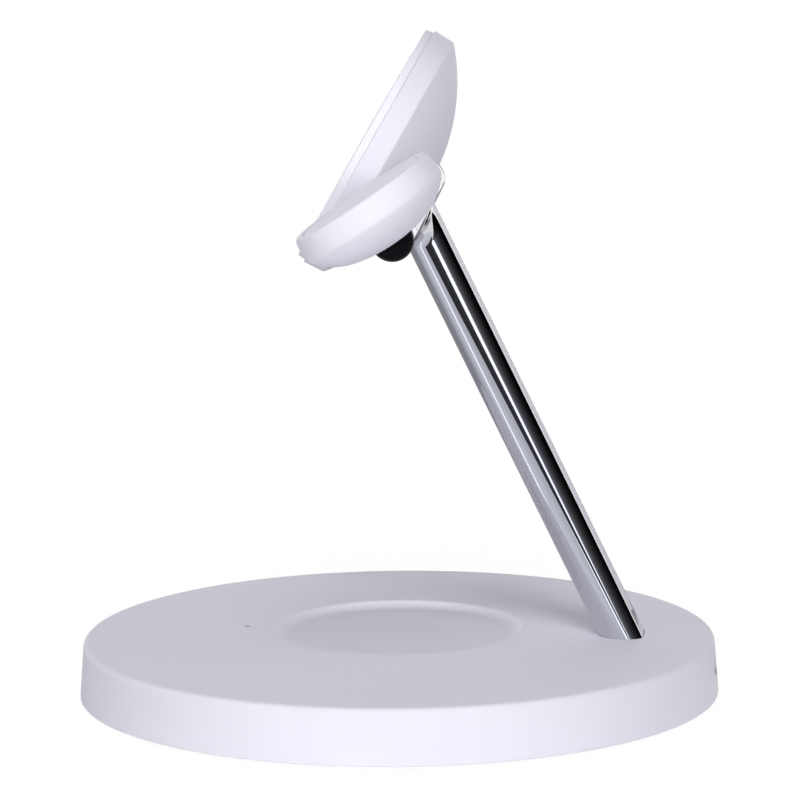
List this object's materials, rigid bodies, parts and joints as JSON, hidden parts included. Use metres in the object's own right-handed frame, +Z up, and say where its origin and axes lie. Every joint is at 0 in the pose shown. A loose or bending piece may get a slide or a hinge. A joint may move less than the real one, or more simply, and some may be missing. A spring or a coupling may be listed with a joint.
{
  "type": "three in one wireless charger",
  "caption": "Wireless charging stand: round weighted base with an earbud dish, leaning chrome stem and cross bar carrying a tilting phone disc and a tilting watch pad.",
  "frame": {"origin": "middle of the underside of the rubber foot, on the table", "axes": "+Z up, -Y to the user who looks at the charging faces, +X to the user's right, where the watch pad is"},
  "size_m": [0.133, 0.133, 0.1346],
  "materials": {
    "white_plastic": "fine satin moulding, white with a faint cool tint",
    "dark_plastic": "plain moulding, dark grey",
    "grey_rubber": "matt",
    "ballast_steel": "plain plate",
    "board_green": "solder mask",
    "bright_steel": "plated",
    "coil_copper": "enamelled copper wire",
    "ferrite": "sintered, dull",
    "lamp_clear": "clear moulding",
    "lamp_body": "plain",
    "bracket_aluminium": "as cast",
    "polished_chrome": "mirror polish",
    "pale_cover": "smooth, pale grey",
    "lead_rubber": "flat ribbon sheath",
    "black_gloss": "high gloss, black",
    "magnet_nickel": "nickel plated",
    "clamp_steel": "plain",
    "face_grey": "smooth, a little darker than the shell"
  },
  "bodies": {
    "base": {"base_shell": "white_plastic", "base_bottom_plate": "dark_plastic", "rubber_foot": "grey_rubber", "ballast_plate": "ballast_steel", "main_board": "board_green", "usb_c_receptacle": "bright_steel", "earbud_coil": "coil_copper", "earbud_ferrite": "ferrite", "lamp_light_pipe": "lamp_clear", "lamp_chip": "lamp_body", "base_screws": "bright_steel", "board_screws": "bright_steel", "stem_foot_bracket": "bracket_aluminium", "stem_screws": "bright_steel", "stem_tube": "polished_chrome", "stem_rear_cover": "pale_cover", "stem_lead": "lead_rubber", "cross_bar": "polished_chrome", "phone_bar_cap": "black_gloss", "watch_bar_cap": "black_gloss"},
    "phone_head": {"phone_shell": "white_plastic", "phone_front_disc": "white_plastic", "phone_magnets": "magnet_nickel", "phone_coil": "coil_copper", "phone_ferrite": "ferrite", "phone_board": "board_green", "phone_hinge_clamp": "clamp_steel", "phone_clamp_screws": "bright_steel"},
    "watch_head": {"watch_shell": "white_plastic", "watch_face": "face_grey", "watch_coil": "coil_copper", "watch_ferrite": "ferrite", "watch_magnet": "magnet_nickel", "watch_hinge_clamp": "clamp_steel", "watch_clamp_screws": "bright_steel"}
  },
  "joints": [
    {"name": "phone_tilt", "type": "hinge", "parent": "base", "child": "phone_head", "pos_m": [-0.038, 0.0034, 0.103], "axis": [1, 0, 0], "range_deg": [-16, 14]},
    {"name": "watch_tilt", "type": "hinge", "parent": "base", "child": "watch_head", "pos_m": [0.049, 0.0034, 0.103], "axis": [1, 0, 0], "range_deg": [-15, 25]}
  ]
}
